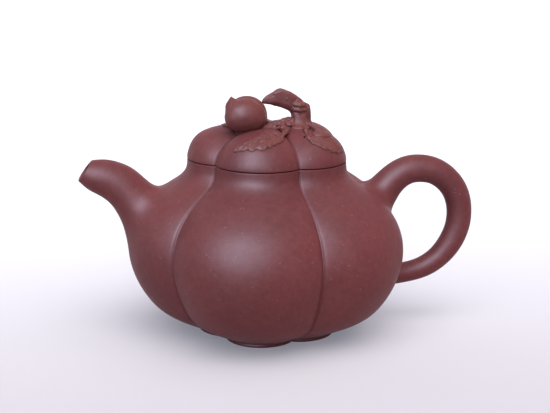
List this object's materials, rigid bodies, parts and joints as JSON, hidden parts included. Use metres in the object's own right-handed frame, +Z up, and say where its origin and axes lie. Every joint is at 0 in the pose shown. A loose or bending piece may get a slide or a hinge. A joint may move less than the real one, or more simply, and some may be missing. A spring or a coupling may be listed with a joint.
{
  "type": "clay teapot",
  "caption": "Small ribbed clay teapot with a lobed body and lid, curved spout, ear-shaped handle, and a bent-branch knob with a peach and leaves.",
  "frame": {"origin": "centre of the foot, on the surface the pot stands on", "axes": "+Z up, spout towards -X, handle towards +X"},
  "size_m": [0.1517, 0.105, 0.0936],
  "materials": {
    "zisha_clay": "unglazed, satin",
    "modelled_clay": "unglazed, satin"
  },
  "bodies": {
    "pot": {"pot_body": "zisha_clay", "base": "zisha_clay", "foot_ring": "zisha_clay", "spout": "zisha_clay", "handle": "zisha_clay"},
    "lid": {"lid_dome": "zisha_clay", "lid_flange": "zisha_clay", "branch": "modelled_clay", "peach": "modelled_clay", "twig": "modelled_clay", "stalk_left": "modelled_clay", "stalk_right": "modelled_clay", "leaf_left": "modelled_clay", "leaf_right": "modelled_clay", "young_leaf": "modelled_clay", "leaf_back": "modelled_clay"}
  },
  "joints": [
    {"name": "lid_lift", "type": "slide", "parent": "pot", "child": "lid", "axis": [0, 0, 1], "range_m": [0, 0.08]}
  ]
}
